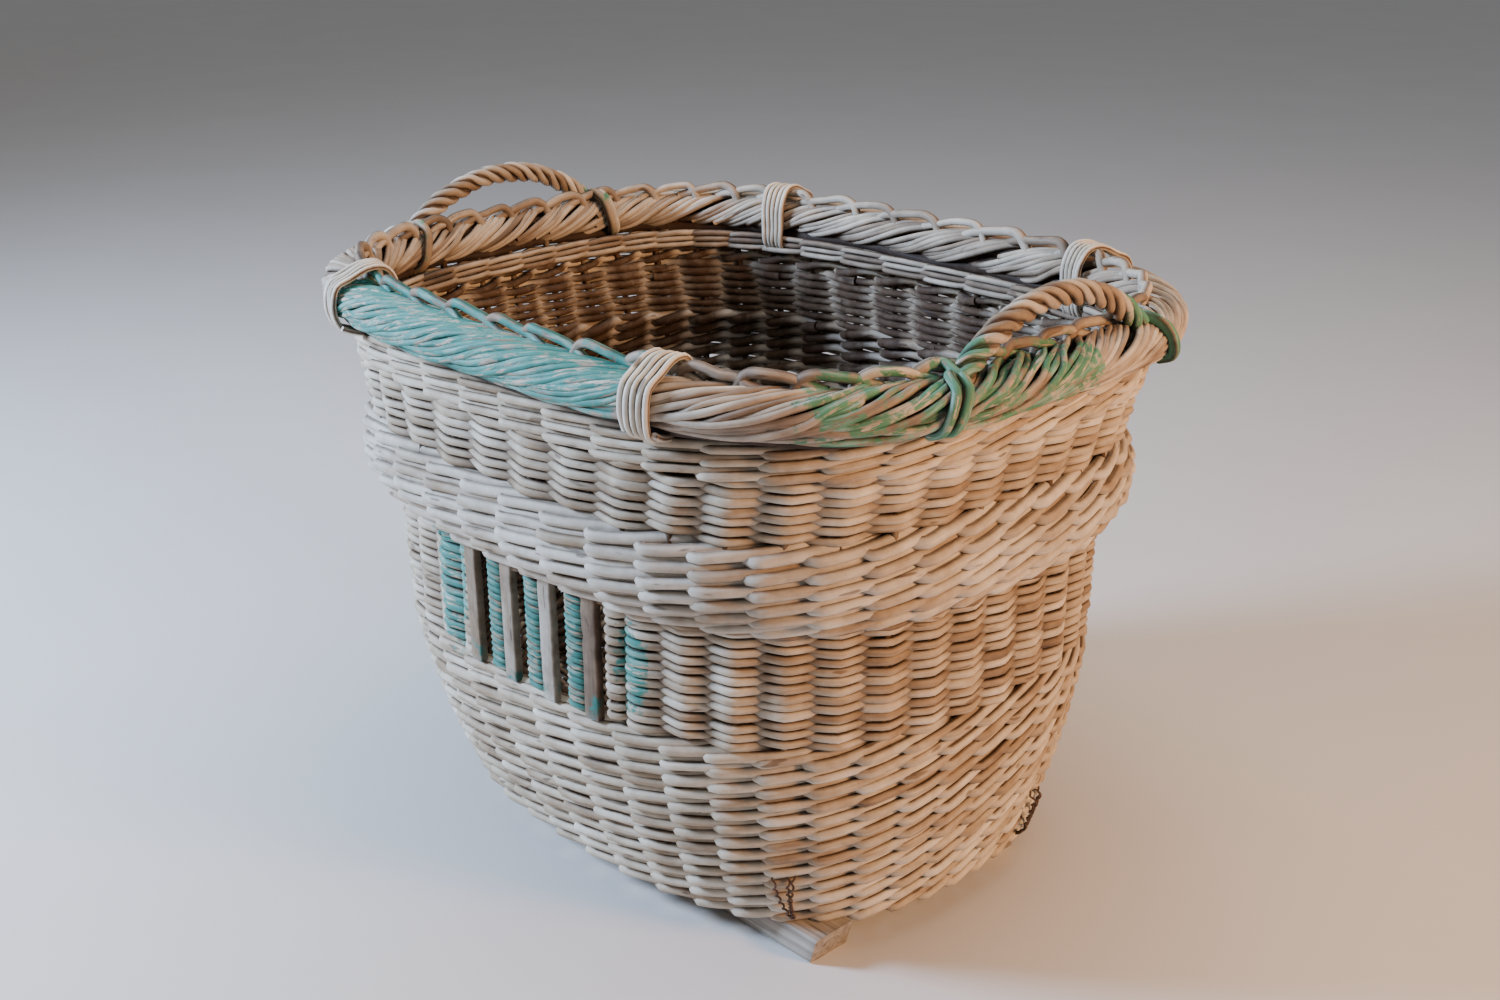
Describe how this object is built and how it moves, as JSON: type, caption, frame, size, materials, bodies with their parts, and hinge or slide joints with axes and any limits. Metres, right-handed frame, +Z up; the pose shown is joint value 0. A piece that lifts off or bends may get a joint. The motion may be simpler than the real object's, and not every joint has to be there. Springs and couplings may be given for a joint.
{
  "type": "wicker log basket",
  "caption": "Large oval willow basket for logs: woven wall with a swollen belly band, slatted side windows, rolled border, rope-twisted end handles and timber runners.",
  "frame": {"origin": "on the floor, under the middle of the basket", "axes": "+X along the length towards the right-hand handle, +Y across towards the back, +Z up"},
  "size_m": [0.8601, 0.678, 0.65],
  "materials": {
    "runner_wood": "weathered sawn timber",
    "base_willow": "dusty aged willow",
    "stake_willow": "aged willow",
    "wale_willow": "bleached weathered willow",
    "weave_willow": "bleached weathered willow",
    "slat_wood": "grey weathered wood with worn paint",
    "border_willow": "weathered willow with chipped green-blue paint",
    "binding_willow": "pale weathered willow",
    "handle_willow": "weathered willow",
    "tie_wire": "rusty wire"
  },
  "bodies": {
    "root": {"runner_front": "runner_wood", "runner_back": "runner_wood", "runner_ties": "tie_wire", "base_sticks": "base_willow", "base_weave": "base_willow", "stakes": "stake_willow", "lower_wale": "wale_willow", "middle_weave": "weave_willow", "window_blocks_front": "weave_willow", "window_blocks_back": "weave_willow", "window_slats_front": "slat_wood", "window_slats_back": "slat_wood", "belly_wale": "wale_willow", "upper_weave": "weave_willow", "top_wale": "wale_willow", "border": "border_willow", "border_chain": "border_willow", "binding_front_left": "binding_willow", "binding_front_right": "binding_willow", "binding_back_left": "binding_willow", "binding_back_right": "binding_willow", "handle_left_core": "handle_willow", "handle_right_core": "handle_willow", "handle_left_twist": "handle_willow", "handle_right_twist": "handle_willow"}
  },
  "joints": []
}
